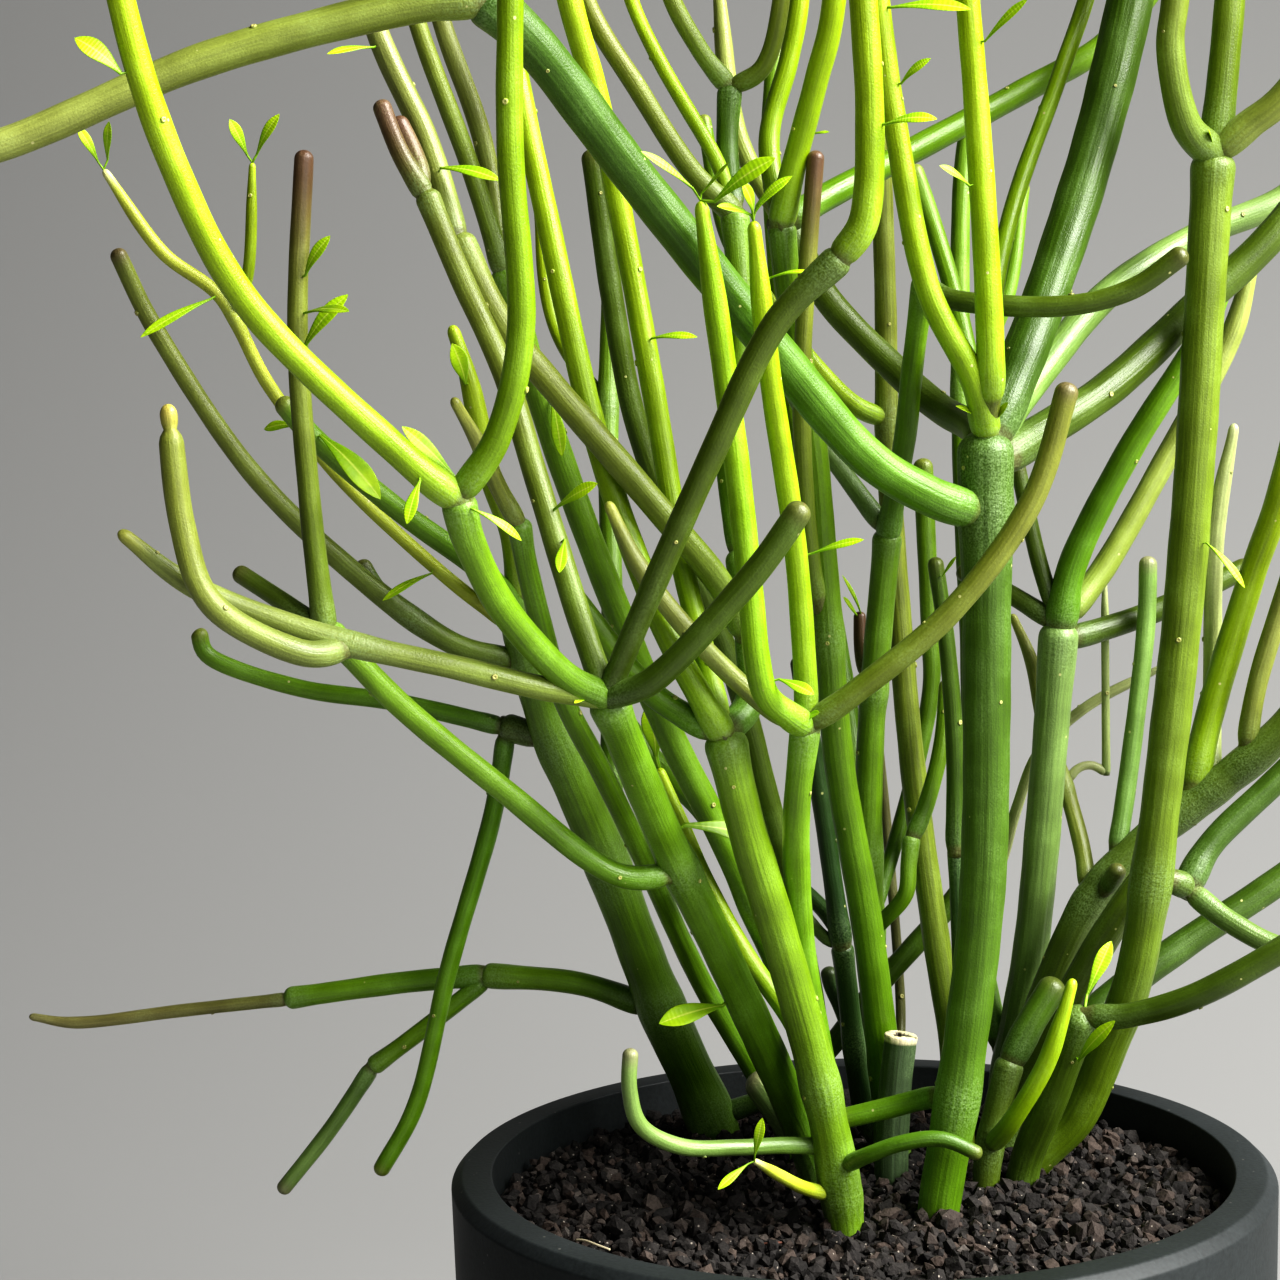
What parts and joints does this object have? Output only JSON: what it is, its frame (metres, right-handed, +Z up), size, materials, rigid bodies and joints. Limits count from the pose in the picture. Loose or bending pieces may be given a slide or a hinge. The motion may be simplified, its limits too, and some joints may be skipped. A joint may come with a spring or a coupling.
{
  "type": "potted euphorbia",
  "caption": "Bushy leafless-looking succulent of pencil-thin forking green stems, standing in a bed of dark grit in a plain round straight-sided pot.",
  "frame": {"origin": "centre of the pot's flat underside, on the surface that it stands on", "axes": "+Z up through the pot; -Y is the side that faces the viewer; +X is the viewer's right"},
  "size_m": [0.3826, 0.2578, 0.5452],
  "materials": {
    "pot_charcoal": "matt",
    "grit_dark": "rough",
    "stem_green": "waxy satin",
    "stem_bright": "waxy satin",
    "stem_olive": "waxy satin",
    "stem_grey": "dry, matt",
    "leaf_yellow_green": "satin"
  },
  "bodies": {
    "root": {"pot": "pot_charcoal", "grit_bed": "grit_dark", "stem_front": "stem_green", "stem_front_left": "stem_green", "stem_left_thin": "stem_olive", "stem_left_inner": "stem_green", "stem_inner_thin": "stem_green", "stem_inner_bright": "stem_bright", "stem_cut_stump": "stem_grey", "stem_centre": "stem_green", "stem_back_centre": "stem_green", "stem_back_olive": "stem_olive", "stem_back_right": "stem_green", "stem_right": "stem_green", "stem_right_low": "stem_green", "stem_right_low_front": "stem_green", "stem_short_front": "stem_green", "stem_back_left": "stem_green", "leaf_01": "leaf_yellow_green", "leaf_02": "leaf_yellow_green", "leaf_03": "leaf_yellow_green", "leaf_04": "leaf_yellow_green", "leaf_05": "leaf_yellow_green", "leaf_06": "leaf_yellow_green", "leaf_07": "leaf_yellow_green", "leaf_08": "leaf_yellow_green", "leaf_09": "leaf_yellow_green", "leaf_10": "leaf_yellow_green", "leaf_11": "leaf_yellow_green", "leaf_12": "leaf_yellow_green", "leaf_13": "leaf_yellow_green", "leaf_14": "leaf_yellow_green", "leaf_15": "leaf_yellow_green", "leaf_16": "leaf_yellow_green", "leaf_17": "leaf_yellow_green", "leaf_18": "leaf_yellow_green", "leaf_19": "leaf_yellow_green", "leaf_20": "leaf_yellow_green", "leaf_21": "leaf_yellow_green", "leaf_22": "leaf_yellow_green", "leaf_23": "leaf_yellow_green", "leaf_24": "leaf_yellow_green", "leaf_25": "leaf_yellow_green", "leaf_26": "leaf_yellow_green", "leaf_27": "leaf_yellow_green", "leaf_28": "leaf_yellow_green", "leaf_29": "leaf_yellow_green", "leaf_30": "leaf_yellow_green", "leaf_31": "leaf_yellow_green", "leaf_32": "leaf_yellow_green", "leaf_33": "leaf_yellow_green", "leaf_34": "leaf_yellow_green", "leaf_35": "leaf_yellow_green", "leaf_36": "leaf_yellow_green", "leaf_37": "leaf_yellow_green", "leaf_38": "leaf_yellow_green", "leaf_39": "leaf_yellow_green", "leaf_40": "leaf_yellow_green"}
  },
  "joints": []
}
